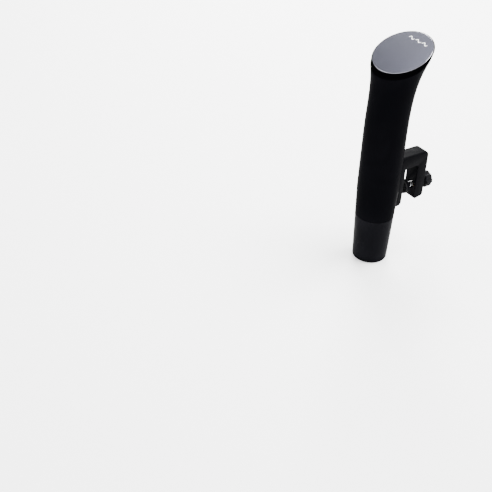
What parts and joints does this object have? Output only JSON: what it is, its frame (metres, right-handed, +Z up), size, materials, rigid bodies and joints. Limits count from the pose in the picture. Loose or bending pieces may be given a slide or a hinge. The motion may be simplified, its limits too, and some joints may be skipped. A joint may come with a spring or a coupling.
{
  "type": "immersion circulator",
  "caption": "Slim black immersion heater and water circulator with a flared head, a slanted round touch panel and a screw clamp that hangs it on the rim of a pot.",
  "frame": {"origin": "middle of the flat under the clamp bridge, the face that sits on the rim of the pot", "axes": "+Z up along the tube, -Y towards the front (the low edge of the slanted panel), +Y out of the pot, X across, with X = 0 the plane of symmetry"},
  "size_m": [0.0818, 0.1239, 0.3277],
  "materials": {
    "housing_black": "satin",
    "bezel_black": "gloss",
    "panel_grey": "fine satin",
    "clamp_black": "fine grain",
    "knob_black": "fine grain",
    "pad_rubber": "matt",
    "seal_rubber": "matt",
    "board_green": "lacquered",
    "display_lens": "gloss",
    "component_black": "matt",
    "component_blue": "gloss",
    "film_yellow": "gloss",
    "terminal_green": "matt",
    "frame_grey": "matt",
    "ribbon_white": "matt",
    "shield_tin": "satin",
    "copper_winding": "lacquered",
    "steel": "satin",
    "screw_steel": "satin",
    "heater_steel": "satin",
    "aluminium_fins": "extruded",
    "brass_nut": "turned",
    "magnet_grey": "matt",
    "impeller_white": "satin",
    "wet_plastic": "satin"
  },
  "bodies": {
    "root": {"upper_housing": "housing_black", "head_bezel": "bezel_black", "control_panel": "panel_grey", "panel_gasket": "seal_rubber", "display_board": "board_green", "led_display": "display_lens", "touch_springs": "steel", "buzzer": "component_black", "wireless_module": "shield_tin", "board_standoffs": "frame_grey", "board_screws": "screw_steel", "inner_frame": "frame_grey", "power_board": "board_green", "mains_capacitor": "component_blue", "choke_coil": "copper_winding", "transformer": "film_yellow", "relay": "component_black", "triac": "component_black", "heat_sink": "aluminium_fins", "terminal_block": "terminal_green", "display_ribbon": "ribbon_white", "cord_gland": "pad_rubber", "motor_can": "steel", "upper_bearing": "steel", "lower_bearing": "steel", "field_magnets": "magnet_grey", "motor_brushes": "component_black", "motor_mount": "steel", "motor_screws": "screw_steel", "heating_element": "heater_steel", "heater_terminals": "brass_nut", "bulkhead": "wet_plastic", "bulkhead_seal": "seal_rubber", "shaft_seal": "seal_rubber", "temperature_probe": "heater_steel", "level_pins": "heater_steel", "lower_skirt": "housing_black", "pump_ring": "wet_plastic", "bottom_cap": "housing_black", "cap_screws": "screw_steel", "clamp_bracket": "clamp_black", "bracket_screws": "screw_steel", "jaw_pad": "pad_rubber", "clamp_nut": "brass_nut"},
    "rotor": {"drive_shaft": "steel", "armature": "copper_winding", "commutator": "copper_winding", "impeller": "impeller_white", "impeller_clip": "screw_steel"},
    "foot": {"clamp_foot": "clamp_black", "foot_pad": "pad_rubber"},
    "screw": {"clamp_spindle": "steel", "clamp_knob": "knob_black", "knob_cap": "knob_black"}
  },
  "joints": [
    {"name": "impeller_spin", "type": "hinge", "parent": "root", "child": "rotor", "pos_m": [0, -0.0495, -0.06], "axis": [0, 0, 1], "continuous": true},
    {"name": "screw_advance", "type": "slide", "parent": "root", "child": "foot", "axis": [0, -1, 0], "range_m": [-0.0091, 0.0036]},
    {"name": "screw_turn", "type": "hinge", "parent": "foot", "child": "screw", "pos_m": [0, 0.0205, -0.036], "axis": [0, -1, 0], "range_deg": [-1316, 524]}
  ],
  "couplings": [
    {"joint": "screw_turn", "follows": "screw_advance", "rad_per_m": 2513.3}
  ]
}
